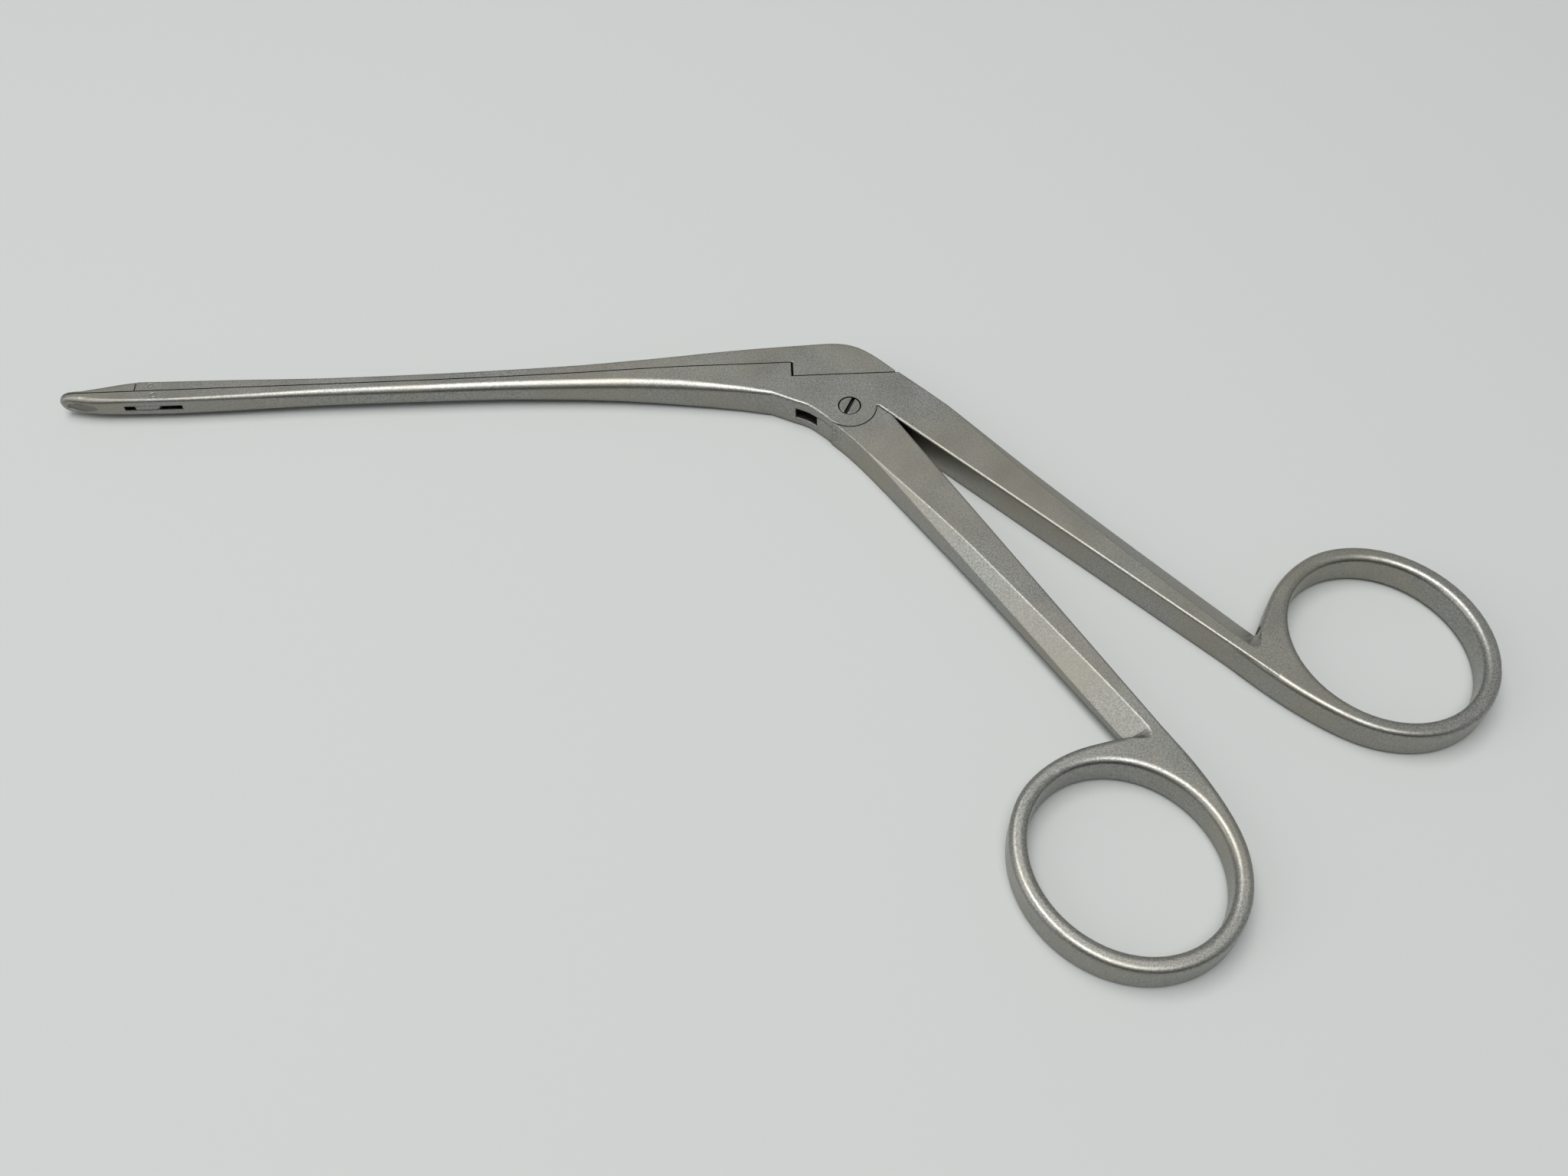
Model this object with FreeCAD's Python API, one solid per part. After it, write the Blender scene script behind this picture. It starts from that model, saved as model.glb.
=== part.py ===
import FreeCAD, Part
import math
import os

# Forceps with a push slide, lying on one side with the handles closed.
# Millimetres. The origin is on the pivot axis, on the side face that lies down.
# X runs along the slide line with the jaws at -X, Y points away from the handles,
# and Z is the thickness of the flat stock.

# Flat stock
THICKNESS = 5.2
MIDDLE = THICKNESS / 2

# Fineness of curves and of the cross-sections along a bar
ARC_TOLERANCE = 0.03
STATION_STEP = 5.0
STEEP_STEP = 0.8
JAW_STEP = 1.2
NOSE_SLICES = 5

# Running clearances
SLIDE_GAP = 0.09
SIDE_GAP = 0.05
TURN_GAP = 0.05
STEP_GAP = 0.3
JAW_GAP = 0.15
SHOULDER_GAP = 0.08
SCREW_GAP = 0.07
HEADROOM = 0.25

# Shaft and slide
SLIDE_LINE = 9.0
HEAD_LINE = 6.25
STEP_X = -8.4
TAPER_X = -25.0
BACK_X = 7.8
SHAFT_WIDTH = 3.3
SLIDE_EDGE = 0.35
SLIDE_NOSE_ROUND = 0.6
JAW_REAR = -108.4
SLIDE_FRONT = JAW_REAR + JAW_GAP

# Lower shaft, from the boss to the jaws: x, underside y, width in z, lower edge radius
SHAFT_STATIONS = [
    (STEP_X, 1.35, THICKNESS, 0.45),
    (-11.5, 2.85, THICKNESS, 0.6),
    (-16.0, 3.75, THICKNESS, 0.9),
    (TAPER_X, 5.0, THICKNESS, 1.35),
    (-34.0, 5.95, 4.66, 1.45),
    (-40.0, 6.35, 4.2, 1.4),
    (-52.0, 6.85, 3.68, 1.3),
    (-63.0, 6.98, 3.43, 1.2),
    (-80.0, 7.08, SHAFT_WIDTH, 1.0),
    (-93.0, 6.92, SHAFT_WIDTH, 0.7),
    (-103.0, 6.87, SHAFT_WIDTH, 0.5),
    (-110.0, 7.0, SHAFT_WIDTH, 0.6),
]

# Underside from the step to the boss
UNDERSIDE_STATIONS = [
    (STEP_X, 1.35, THICKNESS, 0.45),
    (-6.0, 0.15, THICKNESS, 0.4),
    (-4.3, -1.35, THICKNESS, 0.3),
    (-3.2, -2.42, THICKNESS, 0.2),
    (-2.4, -3.1, THICKNESS, 0.2),
]

# Slide bar: x, top y, width in z
SLIDE_STATIONS = [
    (STEP_X + STEP_GAP, 12.5, THICKNESS),
    (-14.0, 12.22, THICKNESS),
    (-20.0, 11.8, THICKNESS),
    (TAPER_X, 11.34, THICKNESS),
    (-30.0, 11.05, 4.92),
    (-34.0, 10.9, 4.66),
    (-40.0, 10.7, 4.2),
    (-52.0, 10.52, 3.68),
    (-63.0, 10.4, 3.43),
    (-80.0, 10.4, SHAFT_WIDTH),
    (-92.0, 10.7, SHAFT_WIDTH),
    (SLIDE_FRONT, 11.0, SHAFT_WIDTH),
]

# Deep rear head of the slide: x, top y
HEAD_STATIONS = [
    (STEP_X + STEP_GAP, 12.5),
    (-4.0, 12.68),
    (-2.0, 12.72),
    (0.0, 12.47),
    (2.0, 11.7),
    (4.0, 10.2),
    (6.0, 8.2),
    (7.3, 6.8),
]

# Jaws: x, y, edge radius
NOSE_X = -120.0
NOSE_ROUND = 2.2
NOSE_FULLNESS = 0.8
JAW_ROUNDING = 0.46
LOWER_JAW_STATIONS = [(-110.0, 7.0, 0.6), (-113.5, 7.1, 0.8), (-116.5, 7.45, 0.9), (-118.4, 7.9, 0.7)]
UPPER_JAW_STATIONS = [(JAW_REAR, 11.0, 0.5), (-110.6, 10.85, 0.7), (-113.5, 10.35, 0.75), (-116.5, 9.7, 0.5)]

# Jaw hinge and link
JAW_PIVOT = (-105.3, 8.1)
JAW_PIN_RADIUS = 0.45
LINK_RADIUS = 2.1
LINK_ANGLE = 110.0
LINK_PIN_RADIUS = 0.35
EAR_RADIUS = 0.72
HEEL_RADIUS = 1.1
HEEL_SLOT_WIDTH = 0.95
HEEL_SLOT_FRONT = -109.9
HEEL_SLOT_REAR = JAW_PIVOT[0] + 4.4
HEEL_SLOT_RAKE = 0.8
FORK_REAR = JAW_PIVOT[0] + 1.3
WEB_FRONT = -109.75
WEB_TOP = 10.1

# Window through each jaw
WINDOW_X = -116.3
WINDOW_OUTER = (2.05, 0.7)
WINDOW_INNER = (2.7, 1.05)

# Pivot
BOSS_RADIUS = 4.0
SHOULDER_ARC = 4.1
BOSS_FROM = 230.0
BOSS_INSIDE = 214.0
BOSS_THROUGH = 290.0
BOSS_TOP_S = -3.0
TONGUE_SLOT_WIDTH = 2.05
TONGUE_RADIUS = 3.85
TONGUE_HEAD_Y = 7.5
TONGUE_HEAD_RADIUS = 1.2
TONGUE_NECK = 0.75
TONGUE_NECK_ROOT = (2.2, 2.6)
TONGUE_NECK_TOP = TONGUE_HEAD_Y - 0.7
TONGUE_HEEL = [(-4.9, -0.95), (-2.6, -3.1)]
TONGUE_HEEL_RADIUS = 4.6
SLOT_FRONT = -8.0
SLOT_SHELF = (-2.9, 1.6)
SLOT_BACK = 4.25
SLOT_BOTTOM = -8.0
SCREW_RADIUS = 1.2
SCREW_HEAD_RADIUS = 1.62
SCREW_HEAD_DEPTH = 1.0
SCREW_HEAD_BEVEL = 0.12
SCREW_SLOT_WIDTH = 0.55
SCREW_SLOT_DEPTH = 0.5
SCREW_SLOT_ANGLE = 64.0

# Keys that hold the slide on the shaft
KEY_NECK = 0.9
KEY_NECK_DEPTH = 0.45
KEY_HEAD = 1.7
KEY_HEAD_DEPTH = 0.5
KEY_TRAVEL = 1.6
KEYS = [(-98.0, 6.0), (-36.0, 6.0)]

# Handles, in the frame of the line midway between them
FORK_POINT = (6.4, -2.3)
AXIS_ANGLE = -52.7
HALF_ANGLE = 7.65
FRONT_SHOULDER = [(0.0, 7.55), (-4.9, 7.8)]
FRONT_INNER_S = 0.25
INNER_END_S = 66.0
STUB = (54.0, 10.0)
RING_S = 71.1
RING_T = 24.5
RING_A = 13.25
RING_B = 11.85
RING_BAND = 2.35
RING_FROM = -50.0
RING_TO = 190.0
RING_BLEND = [(60.0, 7.95), (66.0, 8.55), (RING_S + 0.9, RING_T - 14.8)]
OUTER_END = (RING_S - 8.6, RING_T - 11.9)
SHOULDER_FOOT = (59.6, 11.4)
SHOULDER_TOP = (RING_S - 14.8, RING_T - 5.1)
SHOULDER_BEND = (58.0, (SHOULDER_FOOT[1] + SHOULDER_TOP[1]) / 2)
RING_INNER_EDGE = 0.95
RING_OUTER_EDGE = 0.8
HANDLE_EDGE = 0.3
BEVEL_SLOPE = 0.7
BEVEL_OVER = 0.7
BEVEL_RISE = 0.6
BEVEL_FAN = 0.08
BEVEL_STATIONS = [(3.0, 7.5), (20.7, 7.4), (34.7, 8.0), (51.3, 9.0), (59.0, 9.6)]
# Rounded toe of the bevel: s, t, slope
BEVEL_TOE = [(60.2, 9.72, 0.68), (60.8, 9.95, 0.58), (61.25, 10.35, 0.38), (61.4, 10.8, 0.05)]
HANDLE_OUTER = [(59.0, 12.55), (45.0, 11.2), (21.7, 9.0), (10.4, 8.1)]


def vec(x, y, z=0.0):
    return FreeCAD.Vector(x, y, z)


def polar(radius, angle, centre=(0.0, 0.0)):
    a = math.radians(angle)
    return (centre[0] + radius * math.cos(a), centre[1] + radius * math.sin(a))


def line(p, q):
    return Part.LineSegment(vec(*p), vec(*q)).toShape()


def arc(p, through, q):
    return Part.Arc(vec(*p), vec(*through), vec(*q)).toShape()


def curve(points):
    """Smooth run through the points, as a chain of arcs."""
    spline = Part.BSplineCurve()
    spline.interpolate(Points=[vec(*p) for p in points])
    return [piece.toShape() for piece in spline.toBiArcs(ARC_TOLERANCE)]


def ramp(stations, step):
    """Stations at an even spacing, on smooth runs between the given ones."""
    rows = sorted(stations)
    slopes = []
    for i in range(len(rows)):
        a, b = rows[max(i - 1, 0)], rows[min(i + 1, len(rows) - 1)]
        slopes.append([(q - p) / (b[0] - a[0]) for p, q in zip(a, b)])
    out = []
    for i in range(len(rows) - 1):
        a, b = rows[i], rows[i + 1]
        width = b[0] - a[0]
        count = max(1, round(width / step))
        for k in range(count):
            u = k / count
            h0, h1 = (1 + 2 * u) * (1 - u) ** 2, u * (1 - u) ** 2 * width
            h2, h3 = u * u * (3 - 2 * u), u * u * (u - 1) * width
            row = zip(a, slopes[i], b, slopes[i + 1])
            out.append(tuple(h0 * p + h1 * m + h2 * q + h3 * n for p, m, q, n in row))
    out.append(rows[-1])
    return out


def plate(edges, z_low, z_high):
    """Solid of one closed outline between two heights."""
    wire = Part.Wire(Part.__sortEdges__(edges))
    solid = Part.Face(wire).extrude(vec(0, 0, z_high - z_low))
    solid.translate(vec(0, 0, z_low))
    return solid


def polygon(points, z_low, z_high):
    corners = list(points) + [points[0]]
    return plate([line(p, q) for p, q in zip(corners, corners[1:])], z_low, z_high)


def loft(wires, ruled=False):
    """Solid through closed outlines, with its faces turned outwards."""
    solid = Part.makeLoft(wires, True, ruled)
    if solid.Volume < 0:
        solid.reverse()
    return solid


def disc(radius, centre, z_low, z_high):
    return Part.makeCylinder(radius, z_high - z_low, vec(centre[0], centre[1], z_low))


def box(x, y, z):
    """Box from three pairs of limits."""
    return Part.makeBox(x[1] - x[0], y[1] - y[0], z[1] - z[0], vec(x[0], y[0], z[0]))


def rim_edges(solid, spots):
    """Edges of the two side faces that pass through the given places."""
    found = []
    for edge in solid.Edges:
        for x, y in spots:
            for z in (0.0, THICKNESS):
                near = edge.distToShape(Part.Vertex(vec(x, y, z)))[0] < 0.02
                ends_flat = all(abs(v.Point.z - z) < 1e-6 for v in edge.Vertexes)
                if near and ends_flat and not any(edge.isSame(e) for e in found):
                    found.append(edge)
    return found


def section(x, y_flat, y_round, width, radius):
    """Cross-section of a bar: flat on the slide line, rounded corners on the other side."""
    way = 1.0 if y_round > y_flat else -1.0
    half = width / 2
    y_side = y_round - way * radius
    c = radius * math.sqrt(0.5)
    points = {}
    for name, side in (("low", -1.0), ("high", 1.0)):
        z_in = MIDDLE + side * (half - radius)
        points[name] = [
            vec(x, y_flat, MIDDLE + side * half),
            vec(x, y_side, MIDDLE + side * half),
            vec(x, y_side + way * c, z_in + side * c),
            vec(x, y_round, z_in),
        ]
    low, high = points["low"], points["high"]
    edges = [
        Part.LineSegment(low[0], low[1]).toShape(),
        Part.Arc(low[1], low[2], low[3]).toShape(),
        Part.LineSegment(low[3], high[3]).toShape(),
        Part.Arc(high[3], high[2], high[1]).toShape(),
        Part.LineSegment(high[1], high[0]).toShape(),
        Part.LineSegment(high[0], low[0]).toShape(),
    ]
    return Part.Wire(edges)


def bar(y_flat, stations, step):
    """Bar through cross-sections, given as x, y of the rounded side, width and edge radius."""
    rows = ramp(stations, step)
    limited = [(x, y_flat, y, min(w, THICKNESS), r) for x, y, w, r in rows]
    return loft([section(*row) for row in limited], True)


def jaw_width(x):
    """Width of the jaws, which end in a rounded nose."""
    inside = (NOSE_X + NOSE_ROUND - x) / NOSE_ROUND
    if inside <= 0:
        return SHAFT_WIDTH
    return SHAFT_WIDTH * math.sqrt(max(0.0, 1 - inside ** 2))


def jaw_form(stations, y_flat):
    """Outer form of one jaw, from its stations to the nose."""
    way = 1.0 if stations[0][1] > y_flat else -1.0
    rows = ramp(stations, JAW_STEP)
    x_last, y_last, r_last = rows[0]
    depth = abs(y_last - y_flat)
    nose = []
    for i in range(1, NOSE_SLICES + 1):
        a = math.radians(90.0 * i / (NOSE_SLICES + 0.35))
        x = x_last + (NOSE_X - x_last) * math.sin(a)
        nose.append((x, y_flat + way * depth * math.cos(a) ** NOSE_FULLNESS, r_last))
    full = []
    for x, y, r in nose[::-1] + rows:
        radius = min(r, JAW_ROUNDING * jaw_width(x), 0.9 * abs(y - y_flat))
        full.append((x, y_flat, y, jaw_width(x), radius))
    return loft([section(*row) for row in full], True)


def jaw_window(y_inner, y_outer):
    """Tapered oval opening, wider on the biting face."""
    wires = []
    for (a, b), y in ((WINDOW_INNER, y_inner), (WINDOW_OUTER, y_outer)):
        ellipse = Part.Ellipse(vec(0, 0), a, b)
        edge = ellipse.toShape()
        edge.rotate(vec(0, 0), vec(1, 0, 0), 90)
        edge.translate(vec(WINDOW_X, y, MIDDLE))
        wires.append(Part.Wire([edge]))
    return loft(wires)


def handle_point(s, t, side):
    """Place at s along the middle line of the handles and t beside it; side is 1 rear, -1 front."""
    a = math.radians(AXIS_ANGLE)
    x = FORK_POINT[0] + s * math.cos(a) - side * t * math.sin(a)
    y = FORK_POINT[1] + s * math.sin(a) + side * t * math.cos(a)
    return (x, y)


def outer_edge_t(s):
    """Place of the outer edge of a handle, on straight runs between its points."""
    points = sorted(HANDLE_OUTER)
    for (s0, t0), (s1, t1) in zip(points, points[1:]):
        if s <= s1 or s1 == points[-1][0]:
            return t0 + (t1 - t0) * (s - s0) / (s1 - s0)


def inner_edge_t(s):
    return s * math.tan(math.radians(HALF_ANGLE))


def ring_point(angle, side, grow=0.0):
    a = math.radians(angle)
    s = RING_S + (RING_A + grow) * math.cos(a)
    t = RING_T + (RING_B + grow) * math.sin(a)
    return handle_point(s, t, side)


def ring_plate(side):
    """Outer form of a finger ring, with the stub that runs up into the handle."""
    stub = (STUB[0], inner_edge_t(STUB[0]) + 0.02)
    blend = [handle_point(s, t, side) for s, t in [stub] + RING_BLEND]
    count = 10
    turn = (RING_TO - RING_FROM) / count
    around = [ring_point(RING_FROM + turn * i, side, RING_BAND) for i in range(count + 1)]
    shoulder = [handle_point(*p, side) for p in (SHOULDER_TOP, SHOULDER_BEND, SHOULDER_FOOT)]
    stub_top = handle_point(STUB[0], STUB[1], side)
    edges = curve(blend + around + shoulder)
    edges += [line(shoulder[-1], stub_top), line(stub_top, blend[0])]
    solid = plate(edges, 0, THICKNESS)
    return solid.makeFillet(RING_OUTER_EDGE, rim_edges(solid, [around[3]]))


def ring_hole(side):
    arcs = Part.Ellipse(vec(0, 0), RING_A, RING_B).toBSpline().toBiArcs(ARC_TOLERANCE)
    hole = plate([piece.toShape() for piece in arcs], 0, THICKNESS)
    hole.rotate(vec(0, 0), vec(0, 0, 1), AXIS_ANGLE)
    hole.translate(vec(*handle_point(RING_S, RING_T, side)))
    return hole


def bevel(side):
    """Wide slanting cut along the outer edge of a handle, on both side faces."""
    cuts = []
    s_toe = BEVEL_STATIONS[-1][0]
    for z_face, up in ((THICKNESS, 1.0), (0.0, -1.0)):
        def slice_at(s, t, slope, s_far):
            far = outer_edge_t(s_far) + BEVEL_OVER
            drop = (far - t) * slope
            outline = [(s, t, 0.0), (s_far, far, -drop), (s_far, far, BEVEL_RISE), (s, t, BEVEL_RISE)]
            points = [vec(*handle_point(u, v, side), z_face + up * h) for u, v, h in outline]
            return Part.makePolygon(points + [points[0]])
        rows = ramp(BEVEL_STATIONS, STATION_STEP)
        cuts.append(loft([slice_at(s, t, BEVEL_SLOPE, s) for s, t in rows], True))
        toe = [slice_at(s_toe, BEVEL_STATIONS[-1][1], BEVEL_SLOPE, s_toe)]
        toe += [slice_at(s, t, slope, s_toe + BEVEL_FAN * (s - s_toe)) for s, t, slope in BEVEL_TOE]
        cuts.append(loft(toe, True))
    return cuts


def with_ring(solid, side):
    """Handle with its ring: outer form, hole, rounded hole edges and outer bevels."""
    joined = solid.fuse(ring_plate(side)).cut(ring_hole(side)).removeSplitter()
    rims = rim_edges(joined, [ring_point(a, side) for a in (0, 90, 180, 270)])
    joined = joined.makeFillet(RING_INNER_EDGE, rims)
    for cutter in bevel(side):
        joined = joined.cut(cutter)
    return joined


def rear_handle_plate():
    """Boss and rear handle, from the underside of the boss to the ring."""
    inner_top = handle_point(BOSS_TOP_S, inner_edge_t(BOSS_TOP_S), 1)
    boss_end_angle = math.degrees(math.atan2(inner_top[1], inner_top[0]))
    boss_end = polar(BOSS_RADIUS, boss_end_angle)
    boss_start = polar(BOSS_RADIUS, BOSS_INSIDE)
    inner_end = handle_point(INNER_END_S, inner_edge_t(INNER_END_S), 1)
    end_out = handle_point(*OUTER_END, 1)
    back = (BACK_X, HEAD_LINE)
    outer = [handle_point(s, t, 1) for s, t in HANDLE_OUTER] + [back]
    front_top = (boss_start[0], HEAD_LINE)
    edges = [
        arc(boss_start, polar(BOSS_RADIUS, BOSS_THROUGH), boss_end),
        line(boss_end, inner_top),
        line(inner_top, inner_end),
        line(inner_end, end_out),
        line(end_out, outer[0]),
        line(back, front_top),
        line(front_top, boss_start),
    ] + curve(outer)
    solid = plate(edges, 0, THICKNESS)
    inner_spot = handle_point(20, inner_edge_t(20), 1)
    return solid.makeFillet(HANDLE_EDGE, rim_edges(solid, [inner_spot]))


def tongue_slot():
    """Slot through the boss that the tongue turns in."""
    low = MIDDLE - TONGUE_SLOT_WIDTH / 2
    high = MIDDLE + TONGUE_SLOT_WIDTH / 2
    top = HEAD_LINE + 1.0
    outline = [
        (SLOT_FRONT, SLOT_BOTTOM),
        (SLOT_FRONT, SLOT_SHELF[1]),
        (SLOT_SHELF[0], top),
        (SLOT_BACK, top),
        (SLOT_BACK, SLOT_BOTTOM),
    ]
    return polygon(outline, low, high)


def key(centre, length, gap, extra):
    """T-shaped key under the slide, or with gap and extra the groove that it runs in."""
    x0 = centre - length / 2 - gap
    x1 = centre + length / 2 + gap + extra
    neck = KEY_NECK / 2 + gap
    head = KEY_HEAD / 2 + gap
    y_neck = SLIDE_LINE - KEY_NECK_DEPTH
    y_head = y_neck - KEY_HEAD_DEPTH
    neck_box = box((x0, x1), (y_neck - gap, SLIDE_LINE + 0.3), (MIDDLE - neck, MIDDLE + neck))
    head_box = box((x0, x1), (y_head - gap, y_neck + gap), (MIDDLE - head, MIDDLE + head))
    return neck_box.fuse(head_box)


def entry_pocket(centre, length):
    """Wide end of the groove, where the key goes in before it is slid forward."""
    x0 = centre + length / 2 + KEY_TRAVEL
    head = KEY_HEAD / 2 + SIDE_GAP
    y_floor = SLIDE_LINE - KEY_NECK_DEPTH - KEY_HEAD_DEPTH - SIDE_GAP
    return box((x0, x0 + length + 2 * SIDE_GAP), (y_floor, SLIDE_LINE + 0.3), (MIDDLE - head, MIDDLE + head))


def make_body():
    shaft = bar(SLIDE_LINE, SHAFT_STATIONS, STATION_STEP)
    neck = bar(HEAD_LINE, UNDERSIDE_STATIONS, STEEP_STEP)
    jaw = jaw_form(LOWER_JAW_STATIONS, SLIDE_LINE)
    solid = shaft.fuse([neck, jaw, rear_handle_plate()])
    solid = with_ring(solid, 1)
    cuts = [tongue_slot(), jaw_window(SLIDE_LINE + 0.01, 6.4)]
    half = HEEL_SLOT_WIDTH / 2
    slot = [
        (HEEL_SLOT_FRONT, 6.0),
        (HEEL_SLOT_REAR, 6.0),
        (HEEL_SLOT_REAR - HEEL_SLOT_RAKE, SLIDE_LINE + 1),
        (HEEL_SLOT_FRONT, SLIDE_LINE + 1),
    ]
    cuts.append(polygon(slot, MIDDLE - half, MIDDLE + half))
    cuts.append(disc(JAW_PIN_RADIUS, JAW_PIVOT, 0, THICKNESS))
    cuts.append(disc(SCREW_RADIUS, (0, 0), 0, THICKNESS))
    cuts.append(disc(SCREW_HEAD_RADIUS + SCREW_GAP, (0, 0), THICKNESS - SCREW_HEAD_DEPTH, THICKNESS))
    for centre, length in KEYS:
        cuts.append(key(centre, length, SIDE_GAP, KEY_TRAVEL))
        cuts.append(entry_pocket(centre, length))
    for cutter in cuts:
        solid = solid.cut(cutter)
    return solid


def make_front_handle():
    """Front handle with its shoulder round the boss, its ring and the tongue."""
    inner_start = handle_point(FRONT_INNER_S, inner_edge_t(FRONT_INNER_S), -1)
    shoulder_top = handle_point(BOSS_TOP_S, inner_edge_t(BOSS_TOP_S) - SHOULDER_GAP, 1)
    shoulder_low = handle_point(0.0, -SHOULDER_GAP, 1)
    arc_end_angle = math.degrees(math.atan2(shoulder_top[1], shoulder_top[0]))
    arc_end = polar(SHOULDER_ARC, arc_end_angle)
    arc_start = polar(SHOULDER_ARC, BOSS_FROM)
    inner_end = handle_point(INNER_END_S, inner_edge_t(INNER_END_S), -1)
    end_out = handle_point(*OUTER_END, -1)
    outer_points = [handle_point(s, t, -1) for s, t in HANDLE_OUTER + FRONT_SHOULDER]
    edges = [
        arc(arc_start, polar(SHOULDER_ARC, BOSS_THROUGH), arc_end),
        line(arc_end, shoulder_low),
        line(shoulder_low, inner_start),
        line(inner_start, inner_end),
        line(inner_end, end_out),
        line(end_out, outer_points[0]),
        line(outer_points[-1], arc_start),
    ] + curve(outer_points)
    solid = plate(edges, 0, THICKNESS)
    inner_spot = handle_point(20, inner_edge_t(20), -1)
    solid = solid.makeFillet(HANDLE_EDGE, rim_edges(solid, [inner_spot]))
    solid = with_ring(solid, -1)
    return solid.fuse(tongue()).cut(disc(SCREW_RADIUS + TURN_GAP, (0, 0), 0, THICKNESS)).removeSplitter()


def tongue():
    """Thin lever inside the boss; its round head moves the slide."""
    half = TONGUE_SLOT_WIDTH / 2 - SIDE_GAP
    low, high = MIDDLE - half, MIDDLE + half
    root = disc(TONGUE_RADIUS, (0, 0), low, high)
    root_x, root_y = TONGUE_NECK_ROOT
    neck = [
        (-TONGUE_NECK, TONGUE_NECK_TOP),
        (-root_x, root_y),
        (root_x, root_y),
        (TONGUE_NECK, TONGUE_NECK_TOP),
    ]
    below = [polar(TONGUE_HEEL_RADIUS, angle) for angle in (235, 300)]
    front = TONGUE_HEEL + below + [(0, 0), (-3.6, 1.0)]
    head = disc(TONGUE_HEAD_RADIUS, (0, TONGUE_HEAD_Y), low, high)
    return root.fuse([polygon(neck, low, high), polygon(front, low, high), head])


def link_point():
    return polar(LINK_RADIUS, LINK_ANGLE, JAW_PIVOT)


def make_slide():
    """Slide bar with its rear head, front fork, two keys and the pocket for the tongue."""
    low = SLIDE_LINE + SLIDE_GAP
    head_low = HEAD_LINE + SLIDE_GAP
    head = bar(head_low, [(x, y, THICKNESS, SLIDE_EDGE) for x, y in HEAD_STATIONS], STEEP_STEP)
    blade = bar(low, [(x, y, w, SLIDE_EDGE) for x, y, w in SLIDE_STATIONS], STATION_STEP)
    front_x, front_y, _ = SLIDE_STATIONS[-1]
    bend = (front_x + SLIDE_NOSE_ROUND, front_y - SLIDE_NOSE_ROUND)
    corner = box((front_x - 1, bend[0]), (bend[1], front_y + 1), (0, THICKNESS))
    blade = blade.cut(corner.cut(disc(SLIDE_NOSE_ROUND, bend, 0, THICKNESS)))
    solid = head.fuse([blade] + [key(c, n, 0.0, 0.0) for c, n in KEYS])
    half = HEEL_SLOT_WIDTH / 2
    solid = solid.cut(box((front_x - 1, FORK_REAR), (low - 1, front_y + 1), (MIDDLE - half, MIDDLE + half)))
    solid = solid.cut(disc(LINK_PIN_RADIUS, link_point(), 0, THICKNESS))
    reach = TONGUE_HEAD_RADIUS + TURN_GAP
    depth = TONGUE_SLOT_WIDTH / 2 + TURN_GAP
    pocket_top = TONGUE_HEAD_Y + TONGUE_HEAD_RADIUS + HEADROOM
    pocket = box((-reach, reach), (head_low - 1, pocket_top), (MIDDLE - depth, MIDDLE + depth))
    return solid.cut(pocket).removeSplitter()


def make_upper_jaw():
    """Moving jaw with its window, the heel in the shaft and the ear in the slide."""
    low = SLIDE_LINE + SLIDE_GAP
    form = jaw_form(UPPER_JAW_STATIONS, low)
    form = form.cut(jaw_window(low - 0.01, UPPER_JAW_STATIONS[0][1] + 0.6))
    half = HEEL_SLOT_WIDTH / 2 - SIDE_GAP
    z0, z1 = MIDDLE - half, MIDDLE + half
    px, py = JAW_PIVOT
    lx, ly = link_point()
    flush = py - HEEL_RADIUS
    web = [
        (WEB_FRONT, low + 0.2),
        (JAW_REAR + 0.2, flush),
        (px, flush),
        (px + 0.5, py + 0.6),
        (lx + EAR_RADIUS * 0.9, ly),
        (lx, ly + EAR_RADIUS * 0.95),
        (JAW_REAR + 1.0, WEB_TOP),
        (WEB_FRONT, WEB_TOP),
    ]
    heel = disc(HEEL_RADIUS, JAW_PIVOT, z0, z1)
    ear = disc(EAR_RADIUS, (lx, ly), z0, z1)
    solid = form.fuse([polygon(web, z0, z1), heel, ear])
    solid = solid.cut(disc(JAW_PIN_RADIUS + TURN_GAP, JAW_PIVOT, 0, THICKNESS))
    reach = LINK_PIN_RADIUS + TURN_GAP
    rise = LINK_RADIUS * math.sin(math.radians(LINK_ANGLE))
    for radius in (rise, LINK_RADIUS):
        solid = solid.cut(disc(reach, polar(radius, LINK_ANGLE, JAW_PIVOT), 0, THICKNESS))
    return solid.removeSplitter()


def make_pivot_screw():
    """Screw with a flush slotted head, screwed into the far cheek of the boss."""
    screw = disc(SCREW_RADIUS, (0, 0), 0, THICKNESS)
    head = disc(SCREW_HEAD_RADIUS, (0, 0), THICKNESS - SCREW_HEAD_DEPTH, THICKNESS)
    head = head.makeChamfer(SCREW_HEAD_BEVEL, [e for e in head.Edges if e.BoundBox.ZMin > THICKNESS - 0.01])
    screw = screw.fuse(head)
    half = SCREW_SLOT_WIDTH / 2
    slot = box((-3, 3), (-half, half), (THICKNESS - SCREW_SLOT_DEPTH, THICKNESS + 1))
    slot.rotate(vec(0, 0), vec(0, 0, 1), SCREW_SLOT_ANGLE)
    return screw.cut(slot).removeSplitter()


def make_pin(radius, place):
    half = SHAFT_WIDTH / 2
    return disc(radius, place, MIDDLE - half, MIDDLE + half)


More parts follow.
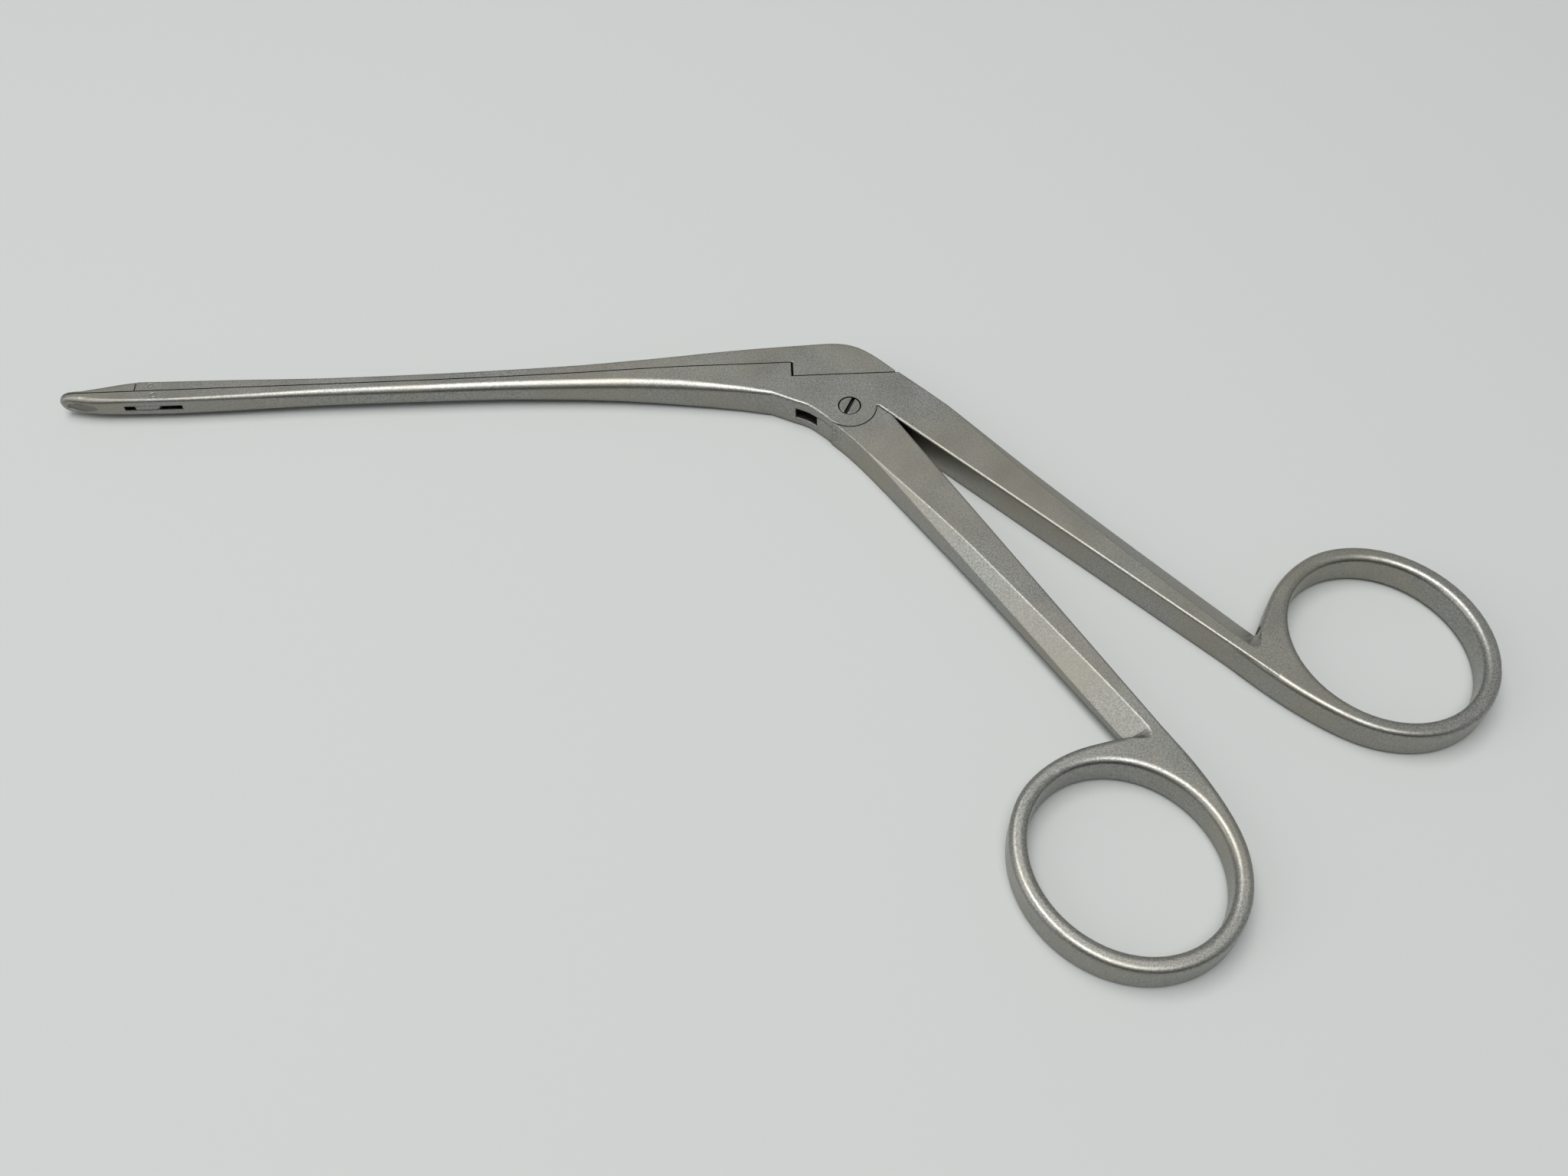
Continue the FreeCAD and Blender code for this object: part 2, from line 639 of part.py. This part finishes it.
os.makedirs("parts", exist_ok=True)
pieces = {
    "body": make_body(),
    "front_handle": make_front_handle(),
    "slide": make_slide(),
    "upper_jaw": make_upper_jaw(),
    "pivot_screw": make_pivot_screw(),
    "jaw_pin": make_pin(JAW_PIN_RADIUS, JAW_PIVOT),
    "link_pin": make_pin(LINK_PIN_RADIUS, link_point()),
}
for name, shape in pieces.items():
    if len(shape.Solids) == 1:
        shape = shape.Solids[0]
    print(name, shape.isValid(), len(shape.Solids), round(shape.Volume, 2), shape.BoundBox)
    shape.exportStep("parts/" + name + ".step")
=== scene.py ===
import math

import bpy
from mathutils import Matrix, Vector

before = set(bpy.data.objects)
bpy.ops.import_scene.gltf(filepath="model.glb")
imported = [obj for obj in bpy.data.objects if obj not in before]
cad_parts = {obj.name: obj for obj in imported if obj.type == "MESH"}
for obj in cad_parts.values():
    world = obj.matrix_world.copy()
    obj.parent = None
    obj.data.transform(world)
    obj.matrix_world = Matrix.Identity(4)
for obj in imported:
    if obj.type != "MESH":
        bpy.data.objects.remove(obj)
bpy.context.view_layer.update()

MM = 0.001

# Camera, solved from the photo: lens and sensor in millimetres, angles in degrees
LENS = 35.6
SENSOR = 36.0
CAMERA_PLACE = Vector((-13.0, -151.3, 181.4)) * MM
CAMERA_DOWN = 55.965
CAMERA_ROLL = -1.431
CAMERA_TURN = -0.97
CAMERA_NEAR = 0.01
CAMERA_FAR = 20

# Floor
FLOOR_COLOUR = (0.60, 0.622, 0.612, 1.0)
FLOOR_ROUGHNESS = 0.9
FLOOR_SIZE = 6

# Steel: the bare metal in its lighter and darker specks, and the warm patches on it
STEEL_COOL = (0.222, 0.22, 0.209, 1.0)
STEEL_LIGHT = (0.362, 0.359, 0.337, 1.0)
STEEL_WARM = (0.298, 0.28, 0.23, 1.0)
SPECKLE_SCALE = 4200
SPECKLE_DETAIL = 2
SPECKLE_RANGE = (0.35, 0.65)
PATCH_SCALE = 55
PATCH_DETAIL = 4
PATCH_RANGE = (0.45, 0.68)
PATCH_SHARES = (0, 0.8)

# Roughness and grain: the handles, shaft and jaws are blasted, the screw and pins are ground
STEEL_ROUGHNESS = 0.36
STEEL_GRAIN = 0.5
SCREW_ROUGHNESS = 0.30
SCREW_GRAIN = 0.2
GROUND_NODES = ("pivot_screw", "jaw_pin", "link_pin")
BLOTCH_SCALE = 160
BLOTCH_DETAIL = 4
BLOTCH_RANGE = (0.3, 0.7)
BLOTCH_SMOOTHER = 0.04
BLOTCH_ROUGHER = 0.05
GRAIN_SCALE = 3200
GRAIN_DETAIL = 3
GRAIN_HEIGHT = 0.02 * MM

# Rounding that the light catches on the edges
EDGE_RADIUS = 0.3 * MM
EDGE_SAMPLES = 6

# Seams between the pieces, as the CAD has them. The boss seam is the arc on the side of the
# pivot that BOSS_SEAM_WAY points to, from BOSS_SEAM_REACH outward. A thin band of painted
# shade runs along each seam.
SLIDE_SEAM_Y = 9.045 * MM
HEAD_SEAM_Y = 6.295 * MM
SEAM_STEP_X = -8.3 * MM
BOSS_SEAM_RADIUS = 4.05 * MM
BOSS_SEAM_WAY = (0.2588, -0.9659)
BOSS_SEAM_REACH = 2.75 * MM
SCREW_SEAM_RADIUS = 1.655 * MM
SEAM_HALF = 0.07 * MM
SEAM_FADE = 0.05 * MM
SEAM_CLEAR = 0.5 * MM

# Painted shade: the seams, the slot of the screw, and corners that little light reaches are
# painted dark in the steel's colour
PAINTED_SHADE_COLOUR = (0.035, 0.033, 0.03, 1.0)
CORNER_SHADE_REACH = 1.2 * MM
CORNER_SHADE_RANGE = (0.15, 0.75)
CORNER_SHADE_SAMPLES = 6
SCREW_SLOT_MIDDLE = 4.8 * MM
SCREW_SLOT_HALF = 0.3 * MM

# Tiny pits in the steel; rarity is the share of the cells without one
PIT_SCALE = 330
PIT_RARITY = 0.93
PIT_SIZE = 0.045
PIT_COLOUR = (0.07, 0.062, 0.05, 1.0)

# World: the room that lights the floor, and the pale backdrop with one dark flag low in front
ROOM_COLOUR = (0.20, 0.205, 0.21, 1.0)
BACKDROP_COLOUR = (0.50, 0.515, 0.508, 1.0)
FLAG_COLOUR = (0.04, 0.042, 0.044, 1.0)
FLAG_FRONT = (-0.35, -0.75)
FLAG_LOW = (0.65, 0.35)

# Softboxes: name, place, target, size, power and colour
SOFTBOXES = (
    ("overhead", (-0.1, -0.07, 0.9), (0, -0.03, 0), (0.9, 0.5), 7.3, (1.0, 0.995, 0.98)),
    ("left", (-1.0, -0.16, 0.62), (0, 0, 0), (0.8, 1.0), 2.4, (1.0, 1.0, 1.0)),
)


def make_camera():
    data = bpy.data.cameras.new("photo_camera")
    data.lens = LENS
    data.sensor_width = SENSOR
    data.clip_start = CAMERA_NEAR
    data.clip_end = CAMERA_FAR
    camera = bpy.data.objects.new("photo_camera", data)
    bpy.context.scene.collection.objects.link(camera)
    turn = Matrix.Rotation(math.radians(CAMERA_TURN), 4, "Z")
    tilt = Matrix.Rotation(math.radians(90 - CAMERA_DOWN), 4, "X")
    roll = Matrix.Rotation(math.radians(CAMERA_ROLL), 4, "Z")
    camera.matrix_world = Matrix.Translation(CAMERA_PLACE) @ turn @ tilt @ roll
    bpy.context.scene.camera = camera


def new_material(name):
    material = bpy.data.materials.new(name)
    material.use_nodes = True
    return material, material.node_tree.nodes, material.node_tree.links


def noise(nodes, links, coords, scale, detail):
    node = nodes.new("ShaderNodeTexNoise")
    node.inputs["Scale"].default_value = scale
    node.inputs["Detail"].default_value = detail
    links.new(coords, node.inputs["Vector"])
    return node.outputs["Fac"]


def spread(nodes, links, value, source, target=(0, 1)):
    """Map a value from the source range to the target range and keep it inside."""
    node = nodes.new("ShaderNodeMapRange")
    ends = ("From Min", "From Max", "To Min", "To Max")
    for end, number in zip(ends, (*source, *target)):
        node.inputs[end].default_value = number
    links.new(value, node.inputs["Value"])
    return node.outputs["Result"]


def blend_colour(nodes, links, factor, a, b):
    """Colour between a and b; each is a colour or the output of another node."""
    node = nodes.new("ShaderNodeMix")
    node.data_type = "RGBA"
    links.new(factor, node.inputs["Factor"])
    for slot, value in (("A", a), ("B", b)):
        socket = [s for s in node.inputs if s.name == slot and s.type == "RGBA"][0]
        if isinstance(value, tuple):
            socket.default_value = value
        else:
            links.new(value, socket)
    return [s for s in node.outputs if s.type == "RGBA"][0]


def calc(nodes, links, operation, a, b=0.0):
    """Math node on two values; each is a number or the output of another node."""
    node = nodes.new("ShaderNodeMath")
    node.operation = operation
    for socket, value in zip(node.inputs, (a, b)):
        if isinstance(value, (int, float)):
            socket.default_value = value
        else:
            links.new(value, socket)
    return node.outputs["Value"]


def split_axes(nodes, links, vector):
    node = nodes.new("ShaderNodeSeparateXYZ")
    links.new(vector, node.inputs["Vector"])
    return node.outputs["X"], node.outputs["Y"], node.outputs["Z"]


def distance_from(nodes, links, value, place):
    return calc(nodes, links, "ABSOLUTE", calc(nodes, links, "SUBTRACT", value, place))


def seam_distance(nodes, links, coords):
    """Distance to the nearest seam on the side faces: slide, head, screw and boss."""
    x, y, _ = split_axes(nodes, links, coords)
    level = nodes.new("ShaderNodeCombineXYZ")
    links.new(x, level.inputs["X"])
    links.new(y, level.inputs["Y"])
    length = nodes.new("ShaderNodeVectorMath")
    length.operation = "LENGTH"
    links.new(level.outputs["Vector"], length.inputs[0])
    radius = length.outputs["Value"]

    behind = calc(nodes, links, "GREATER_THAN", x, SEAM_STEP_X)
    drop = calc(nodes, links, "MULTIPLY", behind, SLIDE_SEAM_Y - HEAD_SEAM_Y)
    line = distance_from(nodes, links, calc(nodes, links, "ADD", y, drop), SLIDE_SEAM_Y)
    screw = distance_from(nodes, links, radius, SCREW_SEAM_RADIUS)

    way_x, way_y = BOSS_SEAM_WAY
    reach_x = calc(nodes, links, "MULTIPLY", x, way_x)
    reach_y = calc(nodes, links, "MULTIPLY", y, way_y)
    reach = calc(nodes, links, "ADD", reach_x, reach_y)
    off_arc = calc(nodes, links, "LESS_THAN", reach, BOSS_SEAM_REACH)
    boss = distance_from(nodes, links, radius, BOSS_SEAM_RADIUS)
    boss = calc(nodes, links, "ADD", boss, off_arc)

    nearest = calc(nodes, links, "MINIMUM", line, screw)
    return calc(nodes, links, "MINIMUM", nearest, boss)


def slot_unshaded(nodes, links, coords):
    """0 on the walls and floor of the screw slot, which get painted shade, 1 on the head
    above it.
    """
    height = split_axes(nodes, links, coords)[2]
    off = distance_from(nodes, links, height, SCREW_SLOT_MIDDLE)
    return spread(nodes, links, off, (SCREW_SLOT_HALF, SCREW_SLOT_HALF + SEAM_FADE))


def pits(nodes, links, coords):
    """A few tiny pits: 1 in a pit, 0 elsewhere."""
    cells = nodes.new("ShaderNodeTexVoronoi")
    cells.inputs["Scale"].default_value = PIT_SCALE
    links.new(coords, cells.inputs["Vector"])
    chance = nodes.new("ShaderNodeSeparateColor")
    links.new(cells.outputs["Color"], chance.inputs["Color"])
    chosen = calc(nodes, links, "GREATER_THAN", chance.outputs["Red"], PIT_RARITY)
    size = calc(nodes, links, "MULTIPLY", chance.outputs["Green"], PIT_SIZE)
    inside = calc(nodes, links, "LESS_THAN", cells.outputs["Distance"], size)
    return calc(nodes, links, "MULTIPLY", chosen, inside)


def steel_colour(nodes, links, coords, seam, shade_slot):
    """Specks and warm patches, with painted shade in the corners, seams and screw slot, and
    dark pits.
    """
    specks = noise(nodes, links, coords, SPECKLE_SCALE, SPECKLE_DETAIL)
    specks = spread(nodes, links, specks, SPECKLE_RANGE)
    colour = blend_colour(nodes, links, specks, STEEL_COOL, STEEL_LIGHT)
    patches = noise(nodes, links, coords, PATCH_SCALE, PATCH_DETAIL)
    patches = spread(nodes, links, patches, PATCH_RANGE, PATCH_SHARES)
    colour = blend_colour(nodes, links, patches, colour, STEEL_WARM)

    # Painted shade: corners that little light reaches are darkened by ambient occlusion
    corner_shade = nodes.new("ShaderNodeAmbientOcclusion")
    corner_shade.samples = CORNER_SHADE_SAMPLES
    corner_shade.inputs["Distance"].default_value = CORNER_SHADE_REACH
    lit = [
        spread(nodes, links, corner_shade.outputs["AO"], CORNER_SHADE_RANGE),
        # painted shade along the seam gaps between the pieces
        spread(nodes, links, seam, (SEAM_HALF, SEAM_HALF + SEAM_FADE)),
    ]
    # Painted shade on the walls and floor of the screw slot
    if shade_slot:
        lit.append(slot_unshaded(nodes, links, coords))
    for factor in lit:
        colour = blend_colour(nodes, links, factor, PAINTED_SHADE_COLOUR, colour)
    return blend_colour(nodes, links, pits(nodes, links, coords), colour, PIT_COLOUR)


def steel_normal(nodes, links, coords, seam, grain):
    """Rounded edges, left sharp beside the seams, under the blasted grain."""
    edge = nodes.new("ShaderNodeBevel")
    edge.samples = EDGE_SAMPLES
    radius = spread(nodes, links, seam, (SEAM_HALF, SEAM_CLEAR), (0, EDGE_RADIUS))
    links.new(radius, edge.inputs["Radius"])
    bump = nodes.new("ShaderNodeBump")
    bump.inputs["Strength"].default_value = grain
    bump.inputs["Distance"].default_value = GRAIN_HEIGHT
    links.new(noise(nodes, links, coords, GRAIN_SCALE, GRAIN_DETAIL), bump.inputs["Height"])
    links.new(edge.outputs["Normal"], bump.inputs["Normal"])
    return bump.outputs["Normal"]


def satin_steel(name, roughness, grain, shade_slot=False):
    material, nodes, links = new_material(name)
    shader = nodes["Principled BSDF"]
    shader.inputs["Metallic"].default_value = 1.0
    coords = nodes.new("ShaderNodeTexCoord").outputs["Object"]
    seam = seam_distance(nodes, links, coords)
    colour = steel_colour(nodes, links, coords, seam, shade_slot)
    links.new(colour, shader.inputs["Base Color"])
    blotch = noise(nodes, links, coords, BLOTCH_SCALE, BLOTCH_DETAIL)
    shares = (roughness - BLOTCH_SMOOTHER, roughness + BLOTCH_ROUGHER)
    blotch = spread(nodes, links, blotch, BLOTCH_RANGE, shares)
    links.new(blotch, shader.inputs["Roughness"])
    normal = steel_normal(nodes, links, coords, seam, grain)
    links.new(normal, shader.inputs["Normal"])
    return material


def make_floor():
    material, nodes, _ = new_material("pale_floor")
    shader = nodes["Principled BSDF"]
    shader.inputs["Base Color"].default_value = FLOOR_COLOUR
    shader.inputs["Roughness"].default_value = FLOOR_ROUGHNESS
    bpy.ops.mesh.primitive_plane_add(size=FLOOR_SIZE, location=(0, 0, 0))
    floor = bpy.context.object
    floor.name = "floor"
    floor.data.materials.append(material)


def softbox(name, place, target, size, power, colour):
    data = bpy.data.lights.new(name, "AREA")
    data.shape = "RECTANGLE"
    data.size, data.size_y = size
    data.energy = power
    data.color = colour
    lamp = bpy.data.objects.new(name, data)
    bpy.context.scene.collection.objects.link(lamp)
    lamp.location = place
    lamp.rotation_euler = (Vector(target) - Vector(place)).to_track_quat("-Z", "Y").to_euler()


def make_world():
    """The backdrop is seen directly and in the metal; the room lights the floor."""
    world = bpy.data.worlds.new("room")
    bpy.context.scene.world = world
    world.use_nodes = True
    nodes, links = world.node_tree.nodes, world.node_tree.links
    room = nodes["Background"]
    room.inputs["Color"].default_value = ROOM_COLOUR
    way = nodes.new("ShaderNodeTexCoord").outputs["Generated"]
    _, y, z = split_axes(nodes, links, way)
    front = spread(nodes, links, y, FLAG_FRONT)
    low = spread(nodes, links, z, FLAG_LOW)
    flag = calc(nodes, links, "MULTIPLY", front, low)
    backdrop = nodes.new("ShaderNodeBackground")
    colour = blend_colour(nodes, links, flag, BACKDROP_COLOUR, FLAG_COLOUR)
    links.new(colour, backdrop.inputs["Color"])
    path = nodes.new("ShaderNodeLightPath")
    seen = path.outputs["Is Camera Ray"]
    for ray in ("Is Glossy Ray", "Is Transmission Ray"):
        seen = calc(nodes, links, "MAXIMUM", seen, path.outputs[ray])
    choice = nodes.new("ShaderNodeMixShader")
    links.new(seen, choice.inputs["Fac"])
    links.new(room.outputs["Background"], choice.inputs[1])
    links.new(backdrop.outputs["Background"], choice.inputs[2])
    links.new(choice.outputs["Shader"], nodes["World Output"].inputs["Surface"])


def make_light():
    make_world()
    for box in SOFTBOXES:
        softbox(*box)


def dress():
    steel = satin_steel("satin_steel", STEEL_ROUGHNESS, STEEL_GRAIN)
    screw = satin_steel("screw_steel", SCREW_ROUGHNESS, SCREW_GRAIN, shade_slot=True)
    for name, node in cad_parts.items():
        node.data.materials.clear()
        node.data.materials.append(screw if name in GROUND_NODES else steel)


make_camera()
make_floor()
make_light()
dress()
bpy.context.scene.view_settings.view_transform = "Standard"
